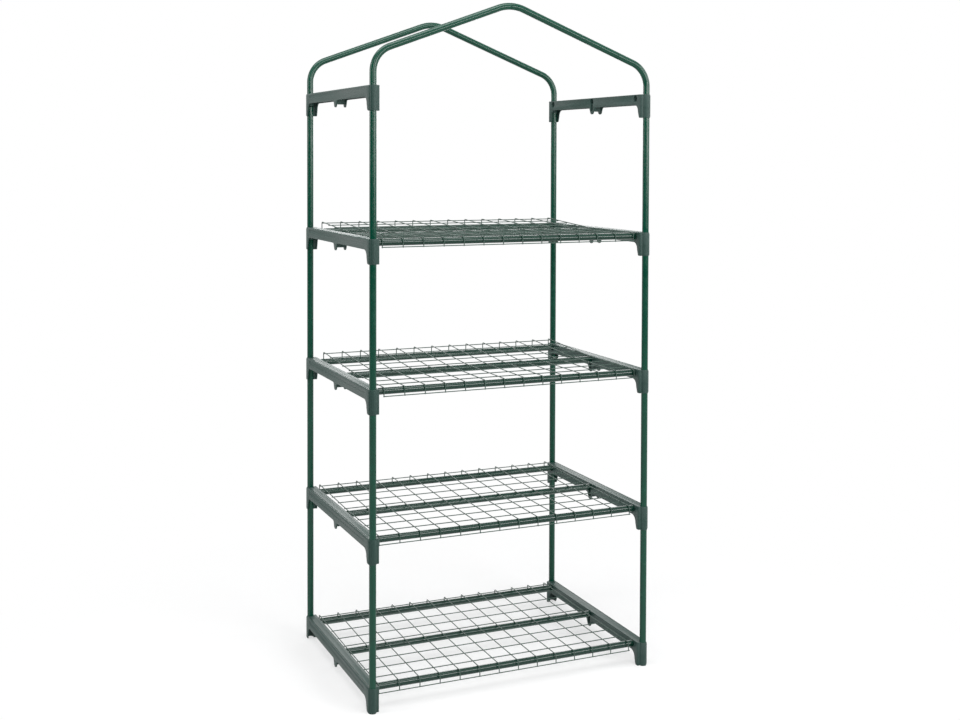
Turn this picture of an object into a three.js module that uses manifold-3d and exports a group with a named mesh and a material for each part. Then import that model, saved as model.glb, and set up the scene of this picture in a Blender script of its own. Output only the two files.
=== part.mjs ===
// Four-tier greenhouse staging: tubular uprights and shelf tubes pushed into moulded side
// brackets, wire shelves laid on the tubes, and two gabled roof hoops on top.
// Millimetres, +Z up. X runs across the front, Y runs from front to back.
// The origin is on the ground at the middle of the footprint.
import * as THREE from "three";
import { mergeVertices } from "three/addons/utils/BufferGeometryUtils.js";
import Module from "manifold-3d";

const wasm = await Module();
wasm.setup();

// Whole stand
const TIER_COUNT = 4;
const TIER_PITCH = 335;
const POST_SPACING_X = 696;
const POST_SPACING_Y = 502;
// How far short of its seat the left top bracket stops when it is pushed on
const TOP_LEFT_LIFT = 6;
// Clearance between pieces that are pushed together or rest on each other
const FIT_GAP = 0.3;
// How far a cutter reaches past the face that it cuts
const OVERRUN = 5;

// Upright tubes, also the tube of the roof hoops
const POST_DIAMETER = 16;
const POST_WALL = 0.9;

// Shelf tubes, three to a tier
const RAIL_DIAMETER = 16;
const RAIL_WALL = 0.9;
// From the axis of an upright to the axis of the nearest shelf tube, front to back
const RAIL_SETBACK = 26;
// Free length between a shelf tube's end and the bracket's outer wall
const RAIL_END_PLAY = 3.5;

// Side brackets, two to a level
const BRACKET_HEIGHT = 57;
const BEAM_HEIGHT = 25;
const SKIN = 2.5;
const TOP_PLATE = 1.5;
const SLEEVE_WALL = 2.2;
const STOP_WALL = 2;
// Below the stop the leg is a channel: its web starts this far inside the upright's axis
const WEB_MARGIN = 5;
// From the sleeve's outside to the inner face and to the inner side of the leg
const FACE_MARGIN = 5;
const LEG_MARGIN = 3;
// How much narrower the leg is at its foot
const LEG_TAPER = 5;
// The inner face ends at a shoulder this far beyond the upright's axis
const SHOULDER_MARGIN = 1.5;
const SHOULDER_RADIUS = 3;
const GUSSET_RADIUS = 17;
const RAIL_BOSS_WALL = 2;
// Raised pad round the middle shelf tube
const PAD_WIDTH = 30;
const PAD_MARGIN = 1;
const PAD_THICKNESS = 1;
// Lug under the middle of the beam, and the web between its two leaves
const LUG_DROP = 16;
const LUG_TOP_WIDTH = 26;
const LUG_TIP_WIDTH = 10;
const LUG_WEB_WIDTH = 9;
const LUG_WEB_DROP = 10;

// Roof hoops. The ridge's height is that of the tubes' axis above the top brackets' feet.
const RIDGE_HEIGHT = 252;
// How far the ridge lies to the left of the middle
const RIDGE_OFFSET = 14;
// Straight length of each hoop's leg above its bracket, up to the bend at the eaves
const LEFT_EAVES_RISE = 30;
const RIGHT_EAVES_RISE = 18;
const EAVES_RADIUS = 60;
const APEX_RADIUS = 90;
const SPIGOT_LENGTH = 26;
const SPIGOT_WALL = 0.9;
const SWAGE_LENGTH = 4;

// Wire shelves
const WIRE_DIAMETER = 2.3;
const CROSS_WIRE_PITCH = 49.5;
// Where the line wires cross the bays in front of and behind the middle tube, of a bay's depth
const FRONT_BAY_SHARES = [0.156, 0.387, 0.618, 0.849];
const REAR_BAY_SHARES = [0.08, 0.311, 0.542, 0.773];
const WIRE_END = 2;
const RIM_DEPTH = 20;
const RIM_CLEARANCE = 2.2;
const SHELF_SIDE_PLAY = 7.5;
// Where each shelf lies in its side play, from -1 at the left to 1 at the right, and between
// its tubes, from -1 at the front to 1 at the rear. Lowest tier first.
const SIDE_SHIFT_SHARES = [-0.96, -0.7, 0.75, 0.2];
const DEPTH_SHIFT_SHARES = [-0.85, 0.85, 0.6, 0.85];
// How deep a line wire is welded into a cross wire, of the section's height
const WELD_SHARE = 0.3;
// How far each shelf's rear rim rides up its tube, of the rim's depth, lowest tier first
const REAR_RISE_SHARES = [0.2, 0.35, 0.68, 0.7];

// Facets
const TUBE_SIDES = 12;
const WIRE_SIDES = 3;
const NOSE_STEPS = 6;
const SHOULDER_STEPS = 2;
const GUSSET_STEPS = 3;
const EAVES_STEPS = 6;
const APEX_STEPS = 3;
const SPIGOT_STEPS = 2;

// Sizes that follow from the ones above
const postRadius = POST_DIAMETER / 2;
const postBore = postRadius + FIT_GAP;
const sleeveRadius = postBore + SLEEVE_WALL;
const railRadius = RAIL_DIAMETER / 2;
const railBore = railRadius + FIT_GAP;
const railBossRadius = railBore + RAIL_BOSS_WALL;
const railHeight = BRACKET_HEIGHT - TOP_PLATE - railBore;
const railOffset = POST_SPACING_Y / 2 - RAIL_SETBACK;
const railPlaces = { front: -railOffset, middle: 0, rear: railOffset };
const faceX = sleeveRadius + FACE_MARGIN;
const noseY = POST_SPACING_Y / 2 + sleeveRadius;
const legY = POST_SPACING_Y / 2 - sleeveRadius - LEG_MARGIN;
const underside = BRACKET_HEIGHT - BEAM_HEIGHT;
const bracketWidth = sleeveRadius + faceX;
const railInsert = bracketWidth - SKIN - RAIL_END_PLAY;
const stopHeight = BRACKET_HEIGHT / 2;
const tubeEndHeight = STOP_WALL / 2 + FIT_GAP;

// Finishes
const postFinish = new THREE.MeshStandardMaterial({
  name: "green_powder_coat",
  color: 0x0b4a38,
  roughness: 0.42,
  metalness: 0.35,
});
const railFinish = new THREE.MeshStandardMaterial({
  name: "dark_green_powder_coat",
  color: 0x1c4a3e,
  roughness: 0.35,
  metalness: 0.4,
});
const bracketFinish = new THREE.MeshStandardMaterial({
  name: "grey_green_moulded_plastic",
  color: 0x55695f,
  roughness: 0.6,
  metalness: 0,
});
const wireFinish = new THREE.MeshStandardMaterial({
  name: "grey_coated_wire",
  color: 0x6e6a68,
  roughness: 0.5,
  metalness: 0.2,
});

// The closed solid that a geometry's triangles bound
function solidFrom(geometry) {
  const bare = geometry.clone();
  bare.deleteAttribute("normal");
  bare.deleteAttribute("uv");
  const merged = mergeVertices(bare);
  return new wasm.Manifold(
    new wasm.Mesh({
      numProp: 3,
      vertProperties: merged.attributes.position.array,
      triVerts: new Uint32Array(merged.index.array),
    }),
  );
}

// The geometry of a solid
function geometryFrom(solid) {
  const mesh = solid.getMesh();
  const geometry = new THREE.BufferGeometry();
  geometry.setAttribute("position", new THREE.BufferAttribute(mesh.vertProperties, 3));
  geometry.setIndex(new THREE.BufferAttribute(mesh.triVerts, 1));
  geometry.computeVertexNormals();
  return geometry;
}

// The first solid with all the others joined to it
function join(first, ...others) {
  return others.reduce((whole, piece) => whole.add(piece), first);
}

// A straight tube or bar along +Z from the origin. An inner radius of zero makes a bar.
function straightTube(outer, inner, length, sides) {
  const profile = [
    new THREE.Vector2(inner, 0),
    new THREE.Vector2(outer, 0),
    new THREE.Vector2(outer, length),
    new THREE.Vector2(inner, length),
  ];
  if (inner > 0) {
    profile.push(profile[0]);
  }
  return new THREE.LatheGeometry(profile, sides).rotateX(Math.PI / 2);
}

// A bar along +Z from one height to another
function uprightBar(x, y, from, to, radius, sides) {
  return solidFrom(straightTube(radius, 0, to - from, sides).translate(x, y, from));
}

// A bar along +X from one place to another
function crossBar(from, to, y, z, radius, sides) {
  const bar = straightTube(radius, 0, to - from, sides).rotateY(Math.PI / 2);
  return solidFrom(bar.translate(from, y, z));
}

// A box between two corners
function block(low, high) {
  const size = new THREE.Vector3().subVectors(high, low);
  const centre = new THREE.Vector3().addVectors(low, high).multiplyScalar(1 / 2);
  return solidFrom(new THREE.BoxGeometry(size.x, size.y, size.z).translate(...centre));
}

// Points round an arc, both ends included
function arcPoints(x, y, radius, from, to, steps) {
  const points = [];
  for (let i = 0; i <= steps; i += 1) {
    const angle = from + ((to - from) * i) / steps;
    points.push(new THREE.Vector2(x + radius * Math.cos(angle), y + radius * Math.sin(angle)));
  }
  return points;
}

// A regular polygon whose first corner lies on +X
function polygon(radius, sides) {
  return arcPoints(0, 0, radius, 0, 2 * Math.PI, sides).slice(0, sides);
}

// A prism of an outline drawn in the Y and Z directions, from one X to another
function sidePrism(points, from, to) {
  const shape = new THREE.Shape(points);
  const prism = new THREE.ExtrudeGeometry(shape, { depth: to - from, bevelEnabled: false });
  const turn = new THREE.Matrix4().makeBasis(
    new THREE.Vector3(0, 1, 0),
    new THREE.Vector3(0, 0, 1),
    new THREE.Vector3(1, 0, 0),
  );
  return prism.applyMatrix4(turn).translate(from, 0, 0);
}

// A path in one plane through given places, with the direction known at each
class BentPath extends THREE.Curve {
  constructor(stations, side) {
    super();
    this.stations = stations;
    this.side = side;
  }

  getPoint(t, target = new THREE.Vector3()) {
    const place = t * (this.stations.length - 1);
    const first = Math.min(Math.floor(place), this.stations.length - 2);
    const [here, next] = [this.stations[first], this.stations[first + 1]];
    return target.lerpVectors(here.point, next.point, place - first);
  }

  // Sections fall on the given places, however long the runs between them are
  getUtoTmapping(u) {
    return u;
  }

  // The section's first axis points out of the bend, its second along the plane's normal.
  // A sharp corner stretches the first axis, so that the runs on both sides keep their size.
  computeFrenetFrames() {
    const tangents = this.stations.map((station) => station.direction);
    const binormals = this.stations.map(() => this.side);
    const normals = this.stations.map((station) => {
      const outward = new THREE.Vector3().crossVectors(this.side, station.direction);
      return outward.divideScalar(Math.cos(station.halfTurn || 0));
    });
    return { tangents, normals, binormals };
  }
}

// A section swept through stations that lie in the plane square to one axis
function sweep(section, hole, stations, side) {
  const shape = new THREE.Shape(section);
  if (hole) {
    shape.holes.push(new THREE.Path(hole));
  }
  return new THREE.ExtrudeGeometry(shape, {
    extrudePath: new BentPath(stations, side),
    steps: stations.length - 1,
    bevelEnabled: false,
  });
}

// The bracket's outline seen from above, drawn in by a margin: a round nose about each
// upright, flush with the outer face, and beside it the squarer end of the inner face
function bracketPlan(margin) {
  const axis = POST_SPACING_Y / 2;
  const radius = sleeveRadius - margin;
  const shoulder = SHOULDER_MARGIN - margin;
  const corner = Math.max(SHOULDER_RADIUS - margin, FIT_GAP);
  const [cornerX, cornerY] = [faceX - margin - corner, axis + shoulder - corner];
  const crease = Math.asin(shoulder / radius);
  const half = [
    ...arcPoints(cornerX, cornerY, corner, 0, Math.PI / 2, SHOULDER_STEPS),
    ...arcPoints(0, axis, radius, crease, Math.PI, NOSE_STEPS),
  ];
  const mirrored = half.map((p) => new THREE.Vector2(p.x, -p.y)).reverse();
  return [...half, ...mirrored];
}

// Half of the bracket's outline seen from the side, from the lug's tip to the top
function bracketSide() {
  const gusset = Math.min(GUSSET_RADIUS, underside);
  const tip = underside - LUG_DROP;
  return [
    new THREE.Vector2(LUG_TIP_WIDTH / 2 - LUG_TIP_WIDTH / 4, tip),
    new THREE.Vector2(LUG_TIP_WIDTH / 2, tip + LUG_TIP_WIDTH / 4),
    new THREE.Vector2(LUG_TOP_WIDTH / 2, underside),
    ...arcPoints(legY - gusset, underside - gusset, gusset, Math.PI / 2, 0, GUSSET_STEPS),
    new THREE.Vector2(legY + LEG_TAPER, 0),
    new THREE.Vector2(noseY, 0),
    new THREE.Vector2(noseY, BRACKET_HEIGHT),
  ];
}

// One moulded side bracket, its inner face towards +X and its sockets on the Y axis
function bracketSolid() {
  const half = bracketSide();
  const mirrored = half.map((p) => new THREE.Vector2(-p.x, p.y)).reverse();
  const side = solidFrom(sidePrism([...half, ...mirrored], -sleeveRadius, faceX));
  const plan = new THREE.ExtrudeGeometry(new THREE.Shape(bracketPlan(0)), {
    depth: BRACKET_HEIGHT,
    bevelEnabled: false,
  });
  const hollow = new THREE.ExtrudeGeometry(new THREE.Shape(bracketPlan(SKIN)), {
    depth: BRACKET_HEIGHT - TOP_PLATE + OVERRUN,
    bevelEnabled: false,
  }).translate(0, 0, -OVERRUN);
  let bracket = solidFrom(plan).intersect(side).subtract(solidFrom(hollow));

  const insideTop = BRACKET_HEIGHT - TOP_PLATE / 2;
  const insideFace = faceX - SKIN / 2;
  const outsideFace = -sleeveRadius + SKIN / 2;
  const stopLow = stopHeight - STOP_WALL / 2;
  const stopHigh = stopHeight + STOP_WALL / 2;
  for (const end of [-1, 1]) {
    const axis = (end * POST_SPACING_Y) / 2;
    const outer = end * (noseY - SKIN / 2);
    const solid = (inner, from, to) =>
      block(
        new THREE.Vector3(outsideFace, Math.min(inner, outer), from),
        new THREE.Vector3(insideFace, Math.max(inner, outer), to),
      );
    const socket = solid(axis - end * sleeveRadius, stopLow - STOP_WALL, insideTop);
    const web = solid(axis - end * WEB_MARGIN, 0, stopLow);
    bracket = bracket.add(socket.add(web).intersect(solidFrom(plan)));
  }
  for (const y of Object.values(railPlaces)) {
    const seat = block(
      new THREE.Vector3(outsideFace, y - railBossRadius, railHeight - railBossRadius),
      new THREE.Vector3(insideFace, y + railBossRadius, insideTop),
    );
    bracket = bracket.add(seat);
  }
  const lugWeb = block(
    new THREE.Vector3(outsideFace, -LUG_WEB_WIDTH / 2, underside - LUG_WEB_DROP),
    new THREE.Vector3(insideFace, LUG_WEB_WIDTH / 2, railHeight),
  );
  const pad = block(
    new THREE.Vector3(insideFace, -PAD_WIDTH / 2, underside + PAD_MARGIN),
    new THREE.Vector3(faceX + PAD_THICKNESS, PAD_WIDTH / 2, BRACKET_HEIGHT - PAD_MARGIN),
  );
  bracket = join(bracket, lugWeb, pad);

  for (const end of [-1, 1]) {
    const y = (end * POST_SPACING_Y) / 2;
    const top = BRACKET_HEIGHT + OVERRUN;
    const lower = uprightBar(0, y, -OVERRUN, stopLow, postBore, TUBE_SIDES);
    const upper = uprightBar(0, y, stopHigh, top, postBore, TUBE_SIDES);
    bracket = bracket.subtract(lower).subtract(upper);
  }
  for (const y of Object.values(railPlaces)) {
    const reach = faceX - railInsert - FIT_GAP;
    const open = faceX + PAD_THICKNESS + OVERRUN;
    const bore = crossBar(reach, open, y, railHeight, railBore, TUBE_SIDES);
    bracket = bracket.subtract(bore);
  }
  return bracket;
}

// Places along one roof hoop half, from its socket end up to the apex at X zero. Heights are
// measured from the feet of the right top bracket, the reach from the apex to the socket's
// axis. The lift is how much higher the half's own bracket stands.
function hoopStations(reach, lift, rise) {
  const eavesHeight = BRACKET_HEIGHT + lift + rise;
  const eavesX = reach - EAVES_RADIUS;
  const climb = RIDGE_HEIGHT - APEX_RADIUS - eavesHeight;
  const flare = Math.asin((APEX_RADIUS - EAVES_RADIUS) / Math.hypot(eavesX, climb));
  const slope = Math.atan2(climb, eavesX) + flare;
  const turn = Math.PI / 2 - slope;
  const station = (x, z, angle) => ({
    point: new THREE.Vector3(x, 0, z),
    direction: new THREE.Vector3(-Math.sin(angle), 0, Math.cos(angle)),
  });
  const stations = [station(reach, stopHeight + tubeEndHeight + lift, 0)];
  for (let i = 0; i <= EAVES_STEPS; i += 1) {
    const angle = (turn * i) / EAVES_STEPS;
    const x = eavesX + EAVES_RADIUS * Math.cos(angle);
    stations.push(station(x, eavesHeight + EAVES_RADIUS * Math.sin(angle), angle));
  }
  const end = FIT_GAP / 2;
  return [...stations, ...apexStations(-APEX_RADIUS * slope, -end, APEX_STEPS)];
}

// Places round the apex bend between two lengths measured from the apex
function apexStations(from, to, steps) {
  const stations = [];
  for (let i = 0; i <= steps; i += 1) {
    const lean = (from + ((to - from) * i) / steps) / APEX_RADIUS;
    const x = -APEX_RADIUS * Math.sin(lean);
    const z = RIDGE_HEIGHT - APEX_RADIUS + APEX_RADIUS * Math.cos(lean);
    stations.push({
      point: new THREE.Vector3(x, 0, z),
      direction: new THREE.Vector3(-Math.cos(lean), 0, -Math.sin(lean)),
    });
  }
  return stations;
}

// One half of a roof hoop. The plain half is open at the apex, the other half has the
// spigot that goes into it.
function hoopGeometry(stations, hasSpigot) {
  const bore = postRadius - POST_WALL;
  const side = new THREE.Vector3(0, 1, 0);
  const section = polygon(postRadius, TUBE_SIDES);
  const tube = sweep(section, polygon(bore, TUBE_SIDES), stations, side);
  if (!hasSpigot) {
    return tube;
  }
  const spigotRadius = bore - FIT_GAP;
  const spigot = sweep(
    polygon(spigotRadius, TUBE_SIDES),
    polygon(spigotRadius - SPIGOT_WALL, TUBE_SIDES),
    apexStations(-SWAGE_LENGTH, SPIGOT_LENGTH, SPIGOT_STEPS),
    side,
  );
  const swage = sweep(
    polygon(bore + POST_WALL / 2, TUBE_SIDES),
    polygon(spigotRadius - SPIGOT_WALL / 2, TUBE_SIDES),
    apexStations(-SWAGE_LENGTH / 2, -FIT_GAP, 1),
    side,
  );
  return geometryFrom(join(solidFrom(tube), solidFrom(swage), solidFrom(spigot)));
}

// Size of a wire's three-sided section, with the area of the round wire
const wireCorner = WIRE_DIAMETER * Math.sqrt(Math.PI / (3 * Math.sqrt(3)));
const wireFlat = wireCorner / 2;
const weldDepth = WELD_SHARE * (wireCorner + wireFlat);
const lineWireDrop = 2 * wireCorner - weldDepth;
const rimWireOut = wireFlat + wireCorner - weldDepth;
const panHeight = railHeight + railRadius + FIT_GAP + wireCorner;
const rimY = railOffset + railRadius + RIM_CLEARANCE + wireCorner;
const shelfWidth = POST_SPACING_X - 2 * (faceX + PAD_THICKNESS + SHELF_SIDE_PLAY);

// Places along one cross wire, from the front rim's foot to the rear rim's
function crossWireStations(x, rise) {
  const tilt = Math.atan2(rise, rimY);
  const foot = RIM_DEPTH + WIRE_END;
  const upright = Math.PI / 2;
  const station = (y, z, before, after) => ({
    point: new THREE.Vector3(x, y, z),
    direction: new THREE.Vector3(
      0,
      Math.cos((before + after) / 2),
      Math.sin((before + after) / 2),
    ),
    halfTurn: (after - before) / 2,
  });
  return [
    station(-rimY, -foot, upright, upright),
    station(-rimY, 0, upright, 0),
    station(0, 0, 0, tilt),
    station(rimY, rise, tilt, -upright),
    station(rimY, rise - foot, -upright, -upright),
  ];
}

// A line wire's section: three corners, the first one turned to a given angle
function lineWire(y, z, angle) {
  const corners = polygon(wireCorner, WIRE_SIDES).map((p) => p.rotateAround({ x: 0, y: 0 }, angle));
  const section = corners.map((p) => new THREE.Vector2(p.x + y, p.y + z));
  return solidFrom(sidePrism(section, -shelfWidth / 2, shelfWidth / 2));
}

// One wire shelf: cross wires bent down at the front and the rear, line wires under them and
// one line wire in front of each rim's legs
function shelfGeometry(rise) {
  const crossSpan = shelfWidth - 2 * WIRE_END;
  const crossGaps = Math.round(crossSpan / CROSS_WIRE_PITCH);
  const section = polygon(wireCorner, WIRE_SIDES).map((p) => p.negate());
  const side = new THREE.Vector3(1, 0, 0);
  const wires = [];
  for (let i = 0; i <= crossGaps; i += 1) {
    const x = -crossSpan / 2 + (crossSpan * i) / crossGaps;
    wires.push(solidFrom(sweep(section, null, crossWireStations(x, rise), side)));
  }
  for (const share of FRONT_BAY_SHARES) {
    wires.push(lineWire(railOffset * (share - 1), -lineWireDrop, Math.PI / 2));
  }
  for (const share of REAR_BAY_SHARES) {
    const y = railOffset * share;
    wires.push(lineWire(y, (rise * y) / rimY - lineWireDrop, Math.PI / 2));
  }
  wires.push(lineWire(-rimY - rimWireOut, -RIM_DEPTH, 0));
  wires.push(lineWire(rimY + rimWireOut, rise - RIM_DEPTH, Math.PI));
  return geometryFrom(join(...wires));
}

// A named mesh
function piece(name, geometry, finish) {
  const mesh = new THREE.Mesh(geometry, finish);
  mesh.name = name;
  return mesh;
}

const stand = new THREE.Group();
const sides = { left: -1, right: 1 };
const faces = { front: -1, rear: 1 };
const eavesRises = { left: LEFT_EAVES_RISE, right: RIGHT_EAVES_RISE };
const topLifts = { left: TOP_LEFT_LIFT, right: 0 };

const bracketShape = geometryFrom(bracketSolid());
const postLength = TIER_PITCH - 2 * tubeEndHeight;
const postShape = straightTube(postRadius, postRadius - POST_WALL, postLength, TUBE_SIDES);
const railLength = POST_SPACING_X - 2 * (faceX - railInsert);
const railShape = straightTube(railRadius, railRadius - RAIL_WALL, railLength, TUBE_SIDES)
  .rotateY(Math.PI / 2)
  .translate(-railLength / 2, 0, 0);

for (let level = 0; level <= TIER_COUNT; level += 1) {
  const tier = new THREE.Group();
  tier.position.z = level * TIER_PITCH;
  stand.add(tier);
  for (const [side, sign] of Object.entries(sides)) {
    const bracket = piece(`bracket_${side}_${level + 1}`, bracketShape, bracketFinish);
    bracket.position.x = (sign * POST_SPACING_X) / 2;
    bracket.position.z = level === TIER_COUNT ? topLifts[side] : 0;
    bracket.rotation.z = sign > 0 ? Math.PI : 0;
    tier.add(bracket);
  }
  if (level === TIER_COUNT) {
    continue;
  }
  for (const [side, sign] of Object.entries(sides)) {
    const lift = level === TIER_COUNT - 1 ? topLifts[side] / 2 : 0;
    for (const [face, depth] of Object.entries(faces)) {
      const post = piece(`upright_${face}_${side}_${level + 1}`, postShape, postFinish);
      post.position.x = (sign * POST_SPACING_X) / 2;
      post.position.y = (depth * POST_SPACING_Y) / 2;
      post.position.z = stopHeight + tubeEndHeight + lift;
      tier.add(post);
    }
  }
  for (const [place, y] of Object.entries(railPlaces)) {
    const rail = piece(`shelf_tube_${place}_${level + 1}`, railShape, railFinish);
    rail.position.set(0, y, railHeight);
    tier.add(rail);
  }
  const rise = RIM_DEPTH * REAR_RISE_SHARES[level];
  const shelf = piece(`wire_shelf_${level + 1}`, shelfGeometry(rise), wireFinish);
  shelf.position.x = SHELF_SIDE_PLAY * SIDE_SHIFT_SHARES[level];
  shelf.position.y = RIM_CLEARANCE * DEPTH_SHIFT_SHARES[level];
  shelf.position.z = panHeight;
  tier.add(shelf);
}

const roof = new THREE.Group();
roof.position.z = TIER_COUNT * TIER_PITCH;
stand.add(roof);
for (const [side, sign] of Object.entries(sides)) {
  const reach = POST_SPACING_X / 2 + sign * RIDGE_OFFSET;
  const stations = hoopStations(reach, topLifts[side], eavesRises[side]);
  const shape = hoopGeometry(stations, side === "left");
  for (const [face, depth] of Object.entries(faces)) {
    const hoop = piece(`roof_hoop_${face}_${side}`, shape, postFinish);
    hoop.position.x = -RIDGE_OFFSET;
    hoop.position.y = (depth * POST_SPACING_Y) / 2;
    hoop.rotation.z = sign > 0 ? 0 : Math.PI;
    roof.add(hoop);
  }
}

export default stand;
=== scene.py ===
# Looks of the four-tier greenhouse staging: round coated tubes, moulded side brackets, round
# wire shelves and gabled roof hoops, on a pale floor in soft studio light.
# The stand is drawn in millimetres in the same frame as the CAD and its meshes are scaled to
# metres. The camera, the floor, the screen and the lamps are placed in metres.
import math

import bmesh
import bpy
import numpy as np
from mathutils import Matrix, Vector


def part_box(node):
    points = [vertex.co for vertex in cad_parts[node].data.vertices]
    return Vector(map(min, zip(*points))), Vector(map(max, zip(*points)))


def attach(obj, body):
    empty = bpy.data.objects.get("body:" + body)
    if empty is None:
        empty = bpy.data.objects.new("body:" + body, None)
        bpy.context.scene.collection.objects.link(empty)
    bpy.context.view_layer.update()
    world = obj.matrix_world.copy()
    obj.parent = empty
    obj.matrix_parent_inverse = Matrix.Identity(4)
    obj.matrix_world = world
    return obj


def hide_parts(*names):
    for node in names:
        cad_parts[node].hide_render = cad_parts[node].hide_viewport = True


MM = 0.001

# Camera: place in metres, azimuth, elevation and roll in degrees, lens in millimetres
CAMERA_PLACE = (-1.27492, -3.00776, 1.25068)
CAMERA_ANGLES = (-23.957, 1.573, 0.196)
LENS = 49.087
SENSOR_WIDTH = 36
LENS_SHIFT = (-0.01666, -0.17691)
CLIPPING = (0.1, 60)

# Whole stand, as in the CAD
TIERS = 4
TIER_PITCH = 335
POST_X = 348
POST_Y = 251
RAIL_Y = 225
RAIL_HEIGHT = 47.2
FIT_GAP = 0.3
TUBE_RADIUS = 8
TUBE_WALL = 0.9
TUBE_SIDES = 40
# How far a tube's end is drawn in and softened
TUBE_END = 0.3

# Side brackets. Heights are above the bracket's feet.
BRACKET_HEIGHT = 57
UNDERSIDE = 32
OUTER_FACE = -10.45
INNER_FACE = 15.5
NOSE_RADIUS = 8.9
NOSE_Y = POST_Y + NOSE_RADIUS
# Where the two faces end, beyond the upright's axis
INNER_SHOULDER = 1.5
OUTER_SHOULDER = 2.5
INNER_CORNER = 3
LEAST_INNER_CORNER = 0.3
OUTER_CORNER = 1.2
LEAST_OUTER_CORNER = 0.2
# The plan has one more point on its outer face, this far inside the upright's axis
CHEEK = 10
LEG_Y = 237.5
SKIN = 2.5
TOP_PLATE = 1.5
STOP_LOW = 27.5
STOP_HIGH = 29.5
# Round toe at the inner side of each leg
TOE_RADIUS = 4.2
TOE_SETBACK = 7.9
GUSSET_RADIUS = 17
# Lug under the middle of the beam, its coves and the web behind its slot
LUG_DROP = 17
LUG_RADIUS = 8.6
LUG_CENTRE = 0.6
LUG_COVE_RADIUS = 7.4
LUG_COVE_Y = 18.2
LUG_WEB_HALF = 6.5
LUG_WEB_DROP = 10
LUG_WEB_TOP = 44
# Rounded edges: the depths of their rings, then the width and the height of the rounding at
# the outer face, at the inner face and at the noses
EDGE_DEPTHS = (6.5, 4.8, 3.3, 2.2, 1.4, 0.9, 0.5, 0.2, 0.05, 0)
FOOT_ROUNDINGS = ((1.8, 4.5), (0.6, 0.8), (0.4, 1))
TOP_ROUNDINGS = ((2.6, 5.5), (1.2, 1.2), (0.5, 3))
# Material left inside: the blocks round the sockets, the sleeves, the legs' webs, the seats
BLOCK_Y = 240.5
BLOCK_TOP = BRACKET_HEIGHT + 1
SLEEVE_RADIUS = 10.3
SLEEVE_HEIGHTS = (25.5, 40)
WEB_Y = 246
WEB_HEIGHTS = (-6, 36)
SEAT_RADIUS = 10.3
# Where the bores for the shelf tubes end, and how far their cutters reach inwards
SEAT_END = -4.8
SEAT_REACH = 30
# How far cutters reach past the faces that they cut
OVERRUN = 1
ROOM_LOW = -5
BORE_LOW = -6
BORE_HIGH = 64
ENDLESS = 400
# Slot over the lug, groove along the top, panel along the outer face: two corners each
SLOT = ((8, -5.6, UNDERSIDE - 9), (INNER_FACE + OVERRUN, 5.6, RAIL_HEIGHT))
GROOVE = ((-6.6, -236, 55.9), (-5.2, 236, 60))
PANEL = ((-12, -222, 45), (-9.9, 222, 53))
EDGE_SOFTNESS = 0.35
EDGE_SEGMENTS = 2
EDGE_ANGLE = 50

# Wire shelves
WIRE_RADIUS = 1.15
WIRE_SIDES = 10
# How far a wire's end is drawn in and softened, of its radius
WIRE_END_SHARE = 0.3
CROSS_GAPS = 13
CROSS_SPAN = 644
LINE_SPAN = 648
RIM_Y = 237
RIM_DEPTH = 20
RIM_BEND = 4.2
WIRE_END = 2
# How deep a line wire is welded into the cross wires
WELD = 0.35
# The cross wires' kink over the middle tube: half its length, and how far it is rounded off
KINK_REACH = 12
KINK_LIFT = 0.1
KINK_END_LIFT = 0.05
PAN_HEIGHT = RAIL_HEIGHT + TUBE_RADIUS + FIT_GAP + WIRE_RADIUS
LINE_PLACES = (-190, -138, -86, -34, 18, 70, 122, 174, 226)
# Where each shelf lies in its play, and how far its rear rim rides up. Lowest tier first.
SHELVES = (
    {"shift_x": -7.2, "shift_y": -1.9, "rise": 4},
    {"shift_x": -5.3, "shift_y": 1.9, "rise": 7},
    {"shift_x": 5.6, "shift_y": 1.3, "rise": 13.6},
    {"shift_x": 1.5, "shift_y": 1.9, "rise": 14},
)

# Roof hoops. The ridge's height is above the feet of the right top bracket.
RIDGE_HEIGHT = 252
RIDGE_OFFSET = 14
EAVES_RISES = {"left": 30, "right": 18}
EAVES_RADIUS = 60
APEX_RADIUS = 90
EAVES_STEPS = 28
APEX_STEPS = 10

# Angles, in degrees, above which an edge is shaded sharp
TUBE_SHARPNESS = 32
BRACKET_SHARPNESS = 35

# Surfaces
SPECK_SHARE = 0.22
DEEPER_SHARE = 0.12

# Floor: its reach, and the distances and the least share of its fade to white
FLOOR_REACH = 14
FADE = (0.4, 1.3)
LEAST_WHITE = 0.55
WORLD_TINT = (0.95, 0.98, 1)
WORLD_STRENGTH = 0.25

# Dark screen: radius, height, the angles between which it stands, and its facets
SCREEN_RADIUS = 5
SCREEN_HEIGHT = 3.2
SCREEN_ANGLES = (166, 326)
SCREEN_STEPS = 24

# Lamps: place, aim, width and height in metres, power in watts
LAMPS = {
    "overhead": ((-0.4, -0.6, 3.4), (0, 0, 0.8), (3.2, 0.9), 66),
    "left": ((-3.0, 0.3, 2.0), (0, 0, 1.5), (0.8, 1.5), 30),
    "right": ((2.7, -1.2, 2.0), (0, 0, 1.5), (0.8, 1.5), 30),
    "front": ((1.2, -2.9, 1.45), (0, 0, 0.9), (1.8, 0.7), 42),
    "top_front": ((-1.5, -3.7, 2.15), (0, 0, 1.6), (0.9, 1.7), 44),
    "back": ((1.4, 3.4, 1.9), (0, 0, 0.9), (2.2, 1.3), 32),
}

SIDES = {"left": -1, "right": 1}
FACES = {"front": -1, "rear": 1}

bpy.ops.wm.read_factory_settings(use_empty=True)
scene = bpy.context.scene


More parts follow.
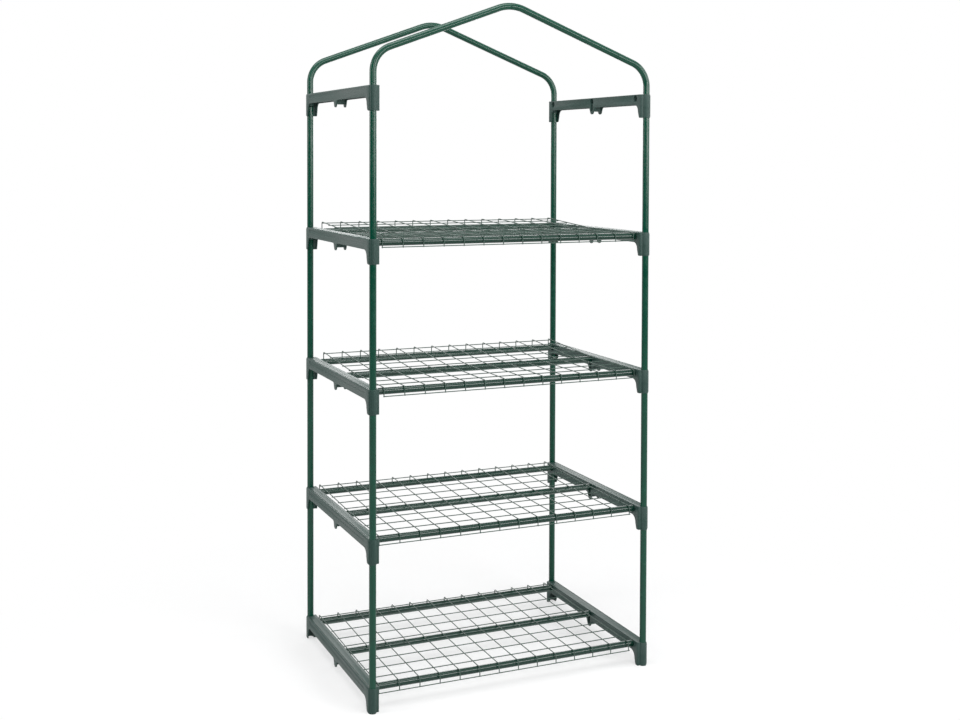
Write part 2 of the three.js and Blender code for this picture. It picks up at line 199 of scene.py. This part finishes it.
# Camera
def place_camera():
    data = bpy.data.cameras.new("camera")
    camera = bpy.data.objects.new("camera", data)
    scene.collection.objects.link(camera)
    azimuth, elevation, roll = (math.radians(v) for v in CAMERA_ANGLES)
    back = Vector(
        (
            math.sin(azimuth) * math.cos(elevation),
            -math.cos(azimuth) * math.cos(elevation),
            math.sin(elevation),
        )
    )
    level = Vector((math.cos(azimuth), math.sin(azimuth), 0))
    upward = back.cross(level)
    right = math.cos(roll) * level + math.sin(roll) * upward
    up = math.cos(roll) * upward - math.sin(roll) * level
    turn = Matrix((right, up, back)).transposed().to_4x4()
    camera.matrix_world = Matrix.Translation(CAMERA_PLACE) @ turn
    data.sensor_width = SENSOR_WIDTH
    data.lens = LENS
    data.shift_x, data.shift_y = LENS_SHIFT
    data.clip_start, data.clip_end = CLIPPING
    scene.camera = camera


place_camera()
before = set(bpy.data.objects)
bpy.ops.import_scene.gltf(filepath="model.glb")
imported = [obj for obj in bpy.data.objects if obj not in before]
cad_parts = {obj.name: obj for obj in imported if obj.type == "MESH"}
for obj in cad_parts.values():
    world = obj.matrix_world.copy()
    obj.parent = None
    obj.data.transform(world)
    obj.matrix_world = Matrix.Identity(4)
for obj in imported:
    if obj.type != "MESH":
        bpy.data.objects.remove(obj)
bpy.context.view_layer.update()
scene.view_settings.view_transform = "Standard"


# Materials
class Nodes:
    """A small helper that adds and joins the nodes of one material."""

    def __init__(self, name):
        self.material = bpy.data.materials.new(name)
        self.material.use_nodes = True
        self.tree = self.material.node_tree
        self.shader = self.tree.nodes["Principled BSDF"]
        self.place = self.add("ShaderNodeTexCoord").outputs["Object"]

    def add(self, kind, **values):
        node = self.tree.nodes.new(kind)
        for key, value in values.items():
            setattr(node, key, value)
        return node

    def join(self, source, target):
        self.tree.links.new(source, target)

    def noise(self, scale, detail=2.0, roughness=0.5, stretch=None):
        node = self.add("ShaderNodeTexNoise")
        node.inputs["Scale"].default_value = scale
        node.inputs["Detail"].default_value = detail
        node.inputs["Roughness"].default_value = roughness
        if stretch:
            mapping = self.add("ShaderNodeMapping")
            mapping.inputs["Scale"].default_value = stretch
            self.join(self.place, mapping.inputs["Vector"])
            self.join(mapping.outputs["Vector"], node.inputs["Vector"])
        else:
            self.join(self.place, node.inputs["Vector"])
        return node.outputs["Fac"]

    def ramp(self, source, stops):
        node = self.add("ShaderNodeValToRGB")
        elements = node.color_ramp.elements
        while len(elements) < len(stops):
            elements.new(0.5)
        for element, (position, colour) in zip(elements, stops):
            element.position = position
            element.color = (*colour, 1)
        self.join(source, node.inputs["Fac"])
        return node.outputs["Color"]

    def span(self, source, low, high, target):
        """Spreads the middle of a noise over a range of values."""
        node = self.add("ShaderNodeMapRange")
        node.inputs["From Min"].default_value = 0.3
        node.inputs["From Max"].default_value = 0.7
        node.inputs["To Min"].default_value = low
        node.inputs["To Max"].default_value = high
        self.join(source, node.inputs["Value"])
        self.join(node.outputs["Result"], target)

    def bump(self, source, strength, distance, under=None):
        node = self.add("ShaderNodeBump")
        node.inputs["Strength"].default_value = strength
        node.inputs["Distance"].default_value = distance
        self.join(source, node.inputs["Height"])
        if under is not None:
            self.join(under, node.inputs["Normal"])
        return node.outputs["Normal"]

    def speckle(self, base, specks, pale):
        """The base colour of the surface, with fine paler specks over it."""
        mix = self.add("ShaderNodeMix", data_type="RGBA")
        mix.inputs["B"].default_value = (*pale, 1)
        self.span(specks, 0.0, SPECK_SHARE, mix.inputs["Factor"])
        self.join(base, mix.inputs["A"])
        self.join(mix.outputs["Result"], self.shader.inputs["Base Color"])


def linear(*values):
    """Linear colour of an sRGB colour given in steps of 255."""
    shares = [v / 255 for v in values]
    return tuple(s / 12.92 if s <= 0.04045 else ((s + 0.055) / 1.055) ** 2.4 for s in shares)


def coat_material(name, colour, worn, roughness, specular, peel):
    """Powder coat or dip coat: slight mottling, orange peel and fine dust."""
    n = Nodes(name)
    deep = tuple(v - v * DEEPER_SHARE for v in colour)
    mottle = n.noise(38, detail=4, roughness=0.6)
    dust = n.noise(900, detail=3, roughness=0.7)
    n.speckle(n.ramp(mottle, ((0.3, deep), (0.62, colour), (0.8, worn))), dust, worn)
    n.span(mottle, roughness - 0.05, roughness + 0.07, n.shader.inputs["Roughness"])
    n.shader.inputs["Specular IOR Level"].default_value = specular
    skin = n.bump(n.noise(peel), strength=0.5, distance=0.00001)
    n.join(skin, n.shader.inputs["Normal"])
    return n.material


def plastic_material():
    """Matte moulded plastic: fine grain, faint flow marks and paler rubbed spots."""
    n = Nodes("moulded_plastic")
    colour, pale, deep = linear(32, 58, 52), linear(60, 78, 74), linear(24, 48, 43)
    flow = n.noise(14, detail=4, roughness=0.6, stretch=(1, 0.35, 1))
    specks = n.noise(650, detail=4, roughness=0.7)
    n.speckle(n.ramp(flow, ((0.28, deep), (0.52, colour), (0.8, pale))), specks, pale)
    n.span(flow, 0.4, 0.5, n.shader.inputs["Roughness"])
    n.shader.inputs["Specular IOR Level"].default_value = 0.27
    waves = n.bump(n.noise(120), strength=0.3, distance=0.0001)
    grain = n.noise(2400, detail=3, roughness=0.6)
    skin = n.bump(grain, strength=0.6, distance=0.00003, under=waves)
    n.join(skin, n.shader.inputs["Normal"])
    return n.material


def dull_nodes(name, scale, dark, light, specular):
    """The nodes of a dull surface whose grey wanders softly between two values."""
    n = Nodes(name)
    shade = n.ramp(n.noise(scale, detail=3), ((0.3, (dark,) * 3), (0.7, (light,) * 3)))
    n.join(shade, n.shader.inputs["Base Color"])
    n.shader.inputs["Roughness"].default_value = 0.9
    n.shader.inputs["Specular IOR Level"].default_value = specular
    return n


def seen_ray(tree):
    """1 for rays from the camera and for those off a glossy or clear surface, else 0."""
    path = tree.nodes.new("ShaderNodeLightPath")
    total = path.outputs["Is Camera Ray"]
    for kind in ("Is Glossy Ray", "Is Transmission Ray"):
        add = tree.nodes.new("ShaderNodeMath")
        add.operation = "ADD"
        add.use_clamp = True
        tree.links.new(total, add.inputs[0])
        tree.links.new(path.outputs[kind], add.inputs[1])
        total = add.outputs[0]
    return total


def floor_material():
    """A pale floor that keeps shadows near the object and fades to white around it."""
    n = dull_nodes("pale_floor", scale=3, dark=0.93, light=0.95, specular=0.1)
    distance = n.add("ShaderNodeVectorMath", operation="LENGTH")
    n.join(n.place, distance.inputs[0])
    fade = n.add("ShaderNodeMapRange", interpolation_type="SMOOTHSTEP")
    fade.inputs["From Min"].default_value = FADE[0]
    fade.inputs["From Max"].default_value = FADE[1]
    fade.inputs["To Min"].default_value = LEAST_WHITE
    n.join(distance.outputs["Value"], fade.inputs["Value"])
    share = n.add("ShaderNodeMath", operation="MULTIPLY")
    n.join(fade.outputs["Result"], share.inputs[0])
    n.join(seen_ray(n.tree), share.inputs[1])
    white = n.add("ShaderNodeEmission")
    white.inputs["Color"].default_value = (1, 1, 1, 1)
    white.inputs["Strength"].default_value = 1
    mix = n.add("ShaderNodeMixShader")
    n.join(share.outputs[0], mix.inputs[0])
    n.join(n.shader.outputs[0], mix.inputs[1])
    n.join(white.outputs[0], mix.inputs[2])
    n.join(mix.outputs[0], n.tree.nodes["Material Output"].inputs["Surface"])
    return n.material


upright_coat = coat_material(
    "upright_coat",
    linear(1, 60, 44),
    linear(8, 70, 54),
    roughness=0.22,
    specular=0.32,
    peel=1500,
)
tube_coat = coat_material(
    "shelf_tube_coat",
    linear(2, 44, 33),
    linear(8, 54, 42),
    roughness=0.15,
    specular=0.46,
    peel=1500,
)
wire_coat = coat_material(
    "wire_coat",
    linear(58, 78, 70),
    linear(80, 96, 89),
    roughness=0.45,
    specular=0.3,
    peel=2600,
)
moulded_plastic = plastic_material()


# Meshes
def add_mesh(name, parts, material):
    """One mesh of several closed parts, each a list of points and a list of faces."""
    points, faces = [], []
    for part_points, part_faces in parts:
        start = len(points)
        points.extend(part_points)
        faces.extend([[start + i for i in face] for face in part_faces])
    mesh = bpy.data.meshes.new(name)
    mesh.from_pydata([[c * MM for c in p] for p in points], [], faces)
    mesh.validate()
    mesh.materials.append(material)
    mesh.shade_smooth()
    mesh.set_sharp_from_angle(angle=math.radians(TUBE_SHARPNESS))
    return mesh


def show(name, mesh, body, nodes, matrix=None):
    """Adds a piece that stands for CAD nodes and rides on a body."""
    piece = bpy.data.objects.new(name, mesh)
    scene.collection.objects.link(piece)
    if matrix is not None:
        piece.matrix_world = matrix
    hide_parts(*nodes)
    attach(piece, body)


def loft(rings, loop=False):
    """Faces between rings of points. A loop joins the last ring to the first, else both ends
    are capped."""
    count = len(rings[0])
    points = [tuple(p) for ring in rings for p in ring]
    faces = []
    spans = len(rings) if loop else len(rings) - 1
    for i in range(spans):
        a, b = i * count, ((i + 1) % len(rings)) * count
        for j in range(count):
            k = (j + 1) % count
            faces.append([a + j, a + k, b + k, b + j])
    if not loop:
        faces.append(list(range(count - 1, -1, -1)))
        last = (len(rings) - 1) * count
        faces.append([last + j for j in range(count)])
    return points, faces


def ring_at(point, direction, side, radius, sides):
    """Points round a circle square to a direction; side is a unit vector square to it."""
    other = np.cross(side, direction)
    turns = np.linspace(0, 2 * math.pi, sides, endpoint=False)
    return [
        np.array(point) + radius * (math.cos(t) * other + math.sin(t) * np.array(side))
        for t in turns
    ]


def as_arrays(stations):
    return [(np.array(p, float), np.array(d, float)) for p, d in stations]


def outer_rings(stations, side, radius, soft, sides):
    """Rings round the outside of a tube or wire, drawn in at both ends."""
    (p0, d0), (p1, d1) = stations[0], stations[-1]
    rings = [ring_at(p0, d0, side, radius - soft, sides)]
    rings.append(ring_at(p0 + d0 * soft, d0, side, radius, sides))
    rings += [ring_at(p, d, side, radius, sides) for p, d in stations[1:-1]]
    rings.append(ring_at(p1 - d1 * soft, d1, side, radius, sides))
    rings.append(ring_at(p1, d1, side, radius - soft, sides))
    return rings


def tube(stations):
    """A hollow tube along stations of point and direction, the directions square to Y."""
    side = np.array((0, 1, 0), float)
    stations = as_arrays(stations)
    rings = outer_rings(stations, side, TUBE_RADIUS, TUBE_END, TUBE_SIDES)
    inner = TUBE_RADIUS - TUBE_WALL
    rings += [ring_at(p, d, side, inner, TUBE_SIDES) for p, d in stations[::-1]]
    return loft(rings, loop=True)


def rod(stations, side):
    """A solid wire along stations of point and direction, with softened ends."""
    soft = WIRE_RADIUS * WIRE_END_SHARE
    side = np.array(side, float)
    return loft(outer_rings(as_arrays(stations), side, WIRE_RADIUS, soft, WIRE_SIDES))


# Uprights and shelf tubes
def show_tube(node, stations, material):
    """A tube that stands for a CAD node of the frame."""
    mesh = add_mesh(node + "_mesh", [tube(stations)], material)
    show("coated_" + node, mesh, "frame", [node])


def make_tubes():
    for face in FACES:
        for side in SIDES:
            for tier in range(1, TIERS + 1):
                node = f"upright_{face}_{side}_{tier}"
                low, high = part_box(node)
                x, y = ((low[i] + high[i]) / 2 / MM for i in (0, 1))
                ends = [((x, y, z / MM), (0, 0, 1)) for z in (low.z, high.z)]
                show_tube(node, ends, upright_coat)
    for place in ("front", "middle", "rear"):
        for tier in range(1, TIERS + 1):
            node = f"shelf_tube_{place}_{tier}"
            low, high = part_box(node)
            y, z = ((low[i] + high[i]) / 2 / MM for i in (1, 2))
            ends = [((x / MM, y, z), (1, 0, 0)) for x in (low.x, high.x)]
            show_tube(node, ends, tube_coat)


make_tubes()


# Roof hoops
def foot_height(bracket):
    """How high a bracket's feet are, in the CAD."""
    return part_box(bracket)[0].z / MM


def hoop_stations(reach, lift, rise):
    """Centreline of one hoop half with its apex at x 0 and its socket end at x = reach."""
    base = TIERS * TIER_PITCH
    eaves_z = BRACKET_HEIGHT + lift + rise
    eaves_x = reach - EAVES_RADIUS
    climb = RIDGE_HEIGHT - APEX_RADIUS - eaves_z
    slope = math.atan2(climb, eaves_x)
    slope += math.asin((APEX_RADIUS - EAVES_RADIUS) / math.hypot(eaves_x, climb))
    stations = [((reach, 0, base + STOP_HIGH + FIT_GAP + lift), (0, 0, 1))]
    for i in range(EAVES_STEPS + 1):
        a = (math.pi / 2 - slope) * i / EAVES_STEPS
        x = eaves_x + EAVES_RADIUS * math.cos(a)
        z = base + eaves_z + EAVES_RADIUS * math.sin(a)
        stations.append(((x, 0, z), (-math.sin(a), 0, math.cos(a))))
    last = FIT_GAP / 2 / APEX_RADIUS
    for i in range(APEX_STEPS + 1):
        a = slope + (last - slope) * i / APEX_STEPS
        z = base + RIDGE_HEIGHT - APEX_RADIUS + APEX_RADIUS * math.cos(a)
        stations.append(((APEX_RADIUS * math.sin(a), 0, z), (-math.cos(a), 0, math.sin(a))))
    return stations


def make_hoops():
    for side, sign in SIDES.items():
        lift = foot_height(f"bracket_{side}_{TIERS + 1}") - TIERS * TIER_PITCH
        stations = hoop_stations(POST_X + sign * RIDGE_OFFSET, lift, EAVES_RISES[side])
        for face, depth in FACES.items():
            placed = [
                ((sign * p[0] - RIDGE_OFFSET, depth * POST_Y, p[2]), (sign * d[0], 0, d[2]))
                for p, d in stations
            ]
            show_tube(f"roof_hoop_{face}_{side}", placed, upright_coat)


make_hoops()


# Wire shelves
def bend(centre, radius, start, end, steps):
    """Stations round a bend in the Y and Z directions; a falling angle turns clockwise."""
    stations = []
    turn = 1 if end > start else -1
    for i in range(steps + 1):
        a = math.radians(start + (end - start) * i / steps)
        place = (0, centre[0] + radius * math.cos(a), centre[1] + radius * math.sin(a))
        stations.append((place, (0, -math.sin(a) * turn, math.cos(a) * turn)))
    return stations


def cross_wire(rise):
    """Stations of one cross wire, from its front foot to its rear foot, at x 0."""
    tilt = math.degrees(math.atan2(rise, RIM_Y))
    foot = RIM_DEPTH + WIRE_END
    stations = [((0, -RIM_Y, -foot), (0, 0, 1))]
    stations += bend((-RIM_Y + RIM_BEND, -RIM_BEND), RIM_BEND, 180, 90, 6)
    lean = math.radians(tilt)
    along = (0, math.cos(lean), math.sin(lean))
    stations.append(((0, -KINK_REACH, 0), (0, 1, 0)))
    stations.append(((0, 0, KINK_LIFT), (0, math.cos(lean / 2), math.sin(lean / 2))))
    stations.append(((0, KINK_REACH, KINK_REACH * math.tan(lean) + KINK_END_LIFT), along))
    inset = RIM_BEND * math.tan(math.radians((90 + tilt) / 2))
    start = (RIM_Y - inset * along[1], rise - inset * along[2])
    centre = (start[0] + RIM_BEND * math.sin(lean), start[1] - RIM_BEND * math.cos(lean))
    stations += bend(centre, RIM_BEND, 90 + tilt, 0, 7)
    stations.append(((0, RIM_Y, rise - foot), (0, 0, -1)))
    return stations


def moved(stations, offset):
    return [(tuple(a + b for a, b in zip(p, offset)), d) for p, d in stations]


def make_shelves():
    for tier, shelf in enumerate(SHELVES, 1):
        rise = shelf["rise"]
        middle, depth = shelf["shift_x"], shelf["shift_y"]
        height = (tier - 1) * TIER_PITCH + PAN_HEIGHT
        parts = []
        for i in range(CROSS_GAPS + 1):
            x = -CROSS_SPAN / 2 + CROSS_SPAN * i / CROSS_GAPS
            parts.append(rod(moved(cross_wire(rise), (middle + x, depth, height)), (1, 0, 0)))
        drop = 2 * WIRE_RADIUS - WELD
        lines = [(y, -drop + rise * max(y, 0) / RIM_Y) for y in LINE_PLACES]
        lines.append((-RIM_Y - drop, -RIM_DEPTH))
        lines.append((RIM_Y + drop, rise - RIM_DEPTH))
        for y, z in lines:
            ends = [((x, y, z), (1, 0, 0)) for x in (-LINE_SPAN / 2, LINE_SPAN / 2)]
            parts.append(rod(moved(ends, (middle, depth, height)), (0, 1, 0)))
        node = f"wire_shelf_{tier}"
        mesh = add_mesh(node + "_mesh", parts, wire_coat)
        show("round_" + node, mesh, f"shelf_{tier}", [node])


make_shelves()


# Moulded side brackets
def arc(centre, radius, start, end, steps):
    """Points round an arc, both ends included, angles in degrees."""
    return [
        (centre[0] + radius * math.cos(a), centre[1] + radius * math.sin(a))
        for a in np.radians(np.linspace(start, end, steps + 1))
    ]


def prism(outline, low, high, axes):
    """A closed prism of an outline; axes says which coordinates the outline and the depth fill."""
    first, second, third = axes
    rings = []
    for depth in (low, high):
        ring = []
        for a, b in outline:
            point = [0.0, 0.0, 0.0]
            point[first], point[second], point[third] = a, b, depth
            ring.append(point)
        rings.append(ring)
    return loft(rings)


def scratch(name, part):
    """A throwaway object of one closed part, its faces turned outwards."""
    mesh = bpy.data.meshes.new(name)
    mesh.from_pydata([list(p) for p in part[0]], [], part[1])
    work = bmesh.new()
    work.from_mesh(mesh)
    bmesh.ops.recalc_face_normals(work, faces=work.faces)
    work.to_mesh(mesh)
    work.free()
    thing = bpy.data.objects.new(name, mesh)
    scene.collection.objects.link(thing)
    return thing


def block(name, low, high):
    """A throwaway box between two corners."""
    outline = [(low[0], low[1]), (high[0], low[1]), (high[0], high[1]), (low[0], high[1])]
    return scratch(name, prism(outline, low[2], high[2], (0, 1, 2)))


def pin(name, centre, radius, low, high, axes):
    """A throwaway round rod."""
    return scratch(name, prism(arc(centre, radius, 0, 360, 48)[:-1], low, high, axes))


def settle(base, tools=()):
    """Applies the modifiers of a throwaway object and removes their tools."""
    graph = bpy.context.evaluated_depsgraph_get()
    mesh = bpy.data.meshes.new_from_object(base.evaluated_get(graph))
    base.modifiers.clear()
    base.data = mesh
    for tool in tools:
        bpy.data.objects.remove(tool)
    return base


def combine(base, operation, *tools):
    """Applies booleans to a throwaway object and removes the tools."""
    for tool in tools:
        cut = base.modifiers.new("cut", "BOOLEAN")
        cut.operation = operation
        cut.solver = "MANIFOLD"
        cut.object = tool
    return settle(base, tools)


def side_outline():
    """The bracket seen from the side, in the Y and Z directions, all the way round."""
    tip = UNDERSIDE - LUG_DROP
    half = [(0, tip)]
    half += arc((LUG_CENTRE, tip + LUG_RADIUS), LUG_RADIUS, 272, 350, 9)
    half += arc((LUG_COVE_Y, UNDERSIDE - LUG_COVE_RADIUS), LUG_COVE_RADIUS, 166, 90, 7)
    half += arc((LEG_Y - GUSSET_RADIUS, UNDERSIDE - GUSSET_RADIUS), GUSSET_RADIUS, 90, 0, 14)
    half += arc((LEG_Y + TOE_SETBACK, TOE_RADIUS), TOE_RADIUS, 188, 270, 6)
    half += [(NOSE_Y + OVERRUN, 0), (NOSE_Y + OVERRUN, BRACKET_HEIGHT + OVERRUN)]
    mirrored = [(-y, z) for y, z in half[1:]][::-1]
    return half + mirrored


def plan_outline(outer, inner, nose):
    """The bracket seen from above, drawn in at its outer face, its inner face and its noses."""
    radius = NOSE_RADIUS - nose
    near, far = INNER_SHOULDER - inner, OUTER_SHOULDER - outer
    creases = [math.degrees(math.asin(step / radius)) for step in (near, far)]
    corner = max(INNER_CORNER - inner, LEAST_INNER_CORNER)
    half = arc((INNER_FACE - inner - corner, POST_Y + near - corner), corner, 0, 90, 5)
    half += arc((0, POST_Y), radius, creases[0], 180 - creases[1], 26)
    corner = max(OUTER_CORNER - outer, LEAST_OUTER_CORNER)
    half += arc((OUTER_FACE + outer + corner, POST_Y + far - corner), corner, 90, 180, 4)
    half += [(OUTER_FACE + outer, POST_Y - CHEEK)]
    return half + [(x, -y) for x, y in half][::-1]


def rounding(depth, width, height):
    """How far an edge rounded like a quarter ellipse is drawn in at a depth from its face."""
    share = max(height - depth, 0) / height
    return width * (1 - math.sqrt(1 - share * share))


def outer_form():
    """The bracket's plan through its whole height, with rounded edges above and below."""
    levels = [(depth, depth, FOOT_ROUNDINGS) for depth in EDGE_DEPTHS[::-1]]
    levels += [(depth, BRACKET_HEIGHT - depth, TOP_ROUNDINGS) for depth in EDGE_DEPTHS]
    rings = []
    for depth, height, roundings in levels:
        outline = plan_outline(*(rounding(depth, *size) for size in roundings))
        rings.append([(x, y, height) for x, y in outline])
    return loft(rings)


def bracket_mesh():
    """One bracket with its inner face towards +X and its feet at z 0."""
    side = scratch("side", prism(side_outline(), -ENDLESS, ENDLESS, (1, 2, 0)))
    outer = combine(scratch("outer", outer_form()), "INTERSECT", side)

    upright, across = (0, 1, 2), (1, 2, 0)
    plan = plan_outline(SKIN, SKIN, SKIN)
    room = scratch("room", prism(plan, ROOM_LOW, BRACKET_HEIGHT - TOP_PLATE, upright))
    left, right = OUTER_FACE - OVERRUN, INNER_FACE + OVERRUN
    keep = []
    for end in (-1, 1):
        post = (0, end * POST_Y)
        near, far = sorted((end * BLOCK_Y, end * (NOSE_Y + OVERRUN)))
        low, high = (left, near, UNDERSIDE + OVERRUN), (right, far, BLOCK_TOP)
        keep.append(block("socket", low, high))
        keep.append(pin("sleeve", post, SLEEVE_RADIUS, *SLEEVE_HEIGHTS, upright))
        near, far = sorted((end * WEB_Y, end * (NOSE_Y + OVERRUN)))
        keep.append(block("web", (left, near, WEB_HEIGHTS[0]), (right, far, WEB_HEIGHTS[1])))
    for y in (-RAIL_Y, 0, RAIL_Y):
        low = (left, y - SEAT_RADIUS, RAIL_HEIGHT - SEAT_RADIUS)
        keep.append(block("seat", low, (right, y + SEAT_RADIUS, BLOCK_TOP)))
    low = (left, -LUG_WEB_HALF, UNDERSIDE - LUG_WEB_DROP)
    keep.append(block("lug_web", low, (right, LUG_WEB_HALF, LUG_WEB_TOP)))
    bracket = combine(outer, "DIFFERENCE", combine(room, "DIFFERENCE", *keep))

    cuts = []
    bore = TUBE_RADIUS + FIT_GAP
    for end in (-1, 1):
        post = (0, end * POST_Y)
        cuts.append(pin("low", post, bore, BORE_LOW, STOP_LOW, upright))
        cuts.append(pin("top", post, bore, STOP_HIGH, BORE_HIGH, upright))
    for y in (-RAIL_Y, 0, RAIL_Y):
        cuts.append(pin("bore", (y, RAIL_HEIGHT), bore, SEAT_END, SEAT_REACH, across))
    cuts += [block("slot", *SLOT), block("groove", *GROOVE), block("panel", *PANEL)]
    bracket = combine(bracket, "DIFFERENCE", *cuts)

    soften = bracket.modifiers.new("soften", "BEVEL")
    soften.width = EDGE_SOFTNESS
    soften.segments = EDGE_SEGMENTS
    soften.limit_method = "ANGLE"
    soften.angle_limit = math.radians(EDGE_ANGLE)
    bracket = settle(bracket)
    mesh = bracket.data
    mesh.transform(Matrix.Scale(MM, 4))
    mesh.materials.clear()
    mesh.materials.append(moulded_plastic)
    mesh.shade_smooth()
    mesh.set_sharp_from_angle(angle=math.radians(BRACKET_SHARPNESS))
    mesh.name = "bracket_mesh"
    bpy.data.objects.remove(bracket)
    return mesh


def make_brackets():
    mesh = bracket_mesh()
    for level in range(TIERS + 1):
        for side, sign in SIDES.items():
            node = f"bracket_{side}_{level + 1}"
            place = Matrix.Translation((sign * POST_X * MM, 0, foot_height(node) * MM))
            turn = Matrix.Rotation(math.pi if sign > 0 else 0, 4, "Z")
            show("moulded_" + node, mesh, "frame", [node], place @ turn)


make_brackets()


# Floor, background and lights
def surroundings(name, points, faces, material):
    """An open surface of the surroundings, in metres."""
    mesh = bpy.data.meshes.new(name)
    mesh.from_pydata(points, [], faces)
    mesh.materials.append(material)
    surface = bpy.data.objects.new(name, mesh)
    scene.collection.objects.link(surface)
    return surface


def make_floor():
    signs = ((-1, -1), (1, -1), (1, 1), (-1, 1))
    corners = [(x * FLOOR_REACH, y * FLOOR_REACH, 0) for x, y in signs]
    floor = surroundings("floor", corners, [(0, 1, 2, 3)], floor_material())


def make_screen():
    """A dark curved screen round the front, seen only in reflections: it gives the tubes depth."""
    cloth = dull_nodes("dark_screen", scale=2, dark=0.01, light=0.02, specular=0).material
    rim = arc((0, 0), SCREEN_RADIUS, *SCREEN_ANGLES, SCREEN_STEPS)
    points = [(x, y, z) for x, y in rim for z in (0, SCREEN_HEIGHT)]
    faces = [(i, i + 2, i + 3, i + 1) for i in range(0, len(points) - 2, 2)]
    screen = surroundings("screen", points, faces, cloth)
    screen.visible_camera = False
    screen.visible_diffuse = False
    screen.visible_shadow = False


def make_world():
    """White where it is seen, and a faint even light elsewhere."""
    world = bpy.data.worlds.new("studio")
    scene.world = world
    world.use_nodes = True
    tree = world.node_tree
    tree.nodes.clear()
    out = tree.nodes.new("ShaderNodeOutputWorld")
    seen = tree.nodes.new("ShaderNodeBackground")
    seen.inputs["Color"].default_value = (1, 1, 1, 1)
    seen.inputs["Strength"].default_value = 1.0
    room = tree.nodes.new("ShaderNodeBackground")
    room.inputs["Color"].default_value = (*WORLD_TINT, 1)
    room.inputs["Strength"].default_value = WORLD_STRENGTH
    mix = tree.nodes.new("ShaderNodeMixShader")
    tree.links.new(seen_ray(tree), mix.inputs[0])
    tree.links.new(room.outputs[0], mix.inputs[1])
    tree.links.new(seen.outputs[0], mix.inputs[2])
    tree.links.new(mix.outputs[0], out.inputs[0])


def add_light(name, place, aim, size, power):
    data = bpy.data.lights.new(name, "AREA")
    data.shape = "RECTANGLE"
    data.size, data.size_y = size
    data.energy = power
    lamp = bpy.data.objects.new(name, data)
    scene.collection.objects.link(lamp)
    lamp.location = place
    lamp.rotation_mode = "QUATERNION"
    lamp.rotation_quaternion = (Vector(aim) - Vector(place)).to_track_quat("-Z", "Y")


make_floor()
make_screen()
make_world()
for lamp_name, lamp_values in LAMPS.items():
    add_light(lamp_name, *lamp_values)
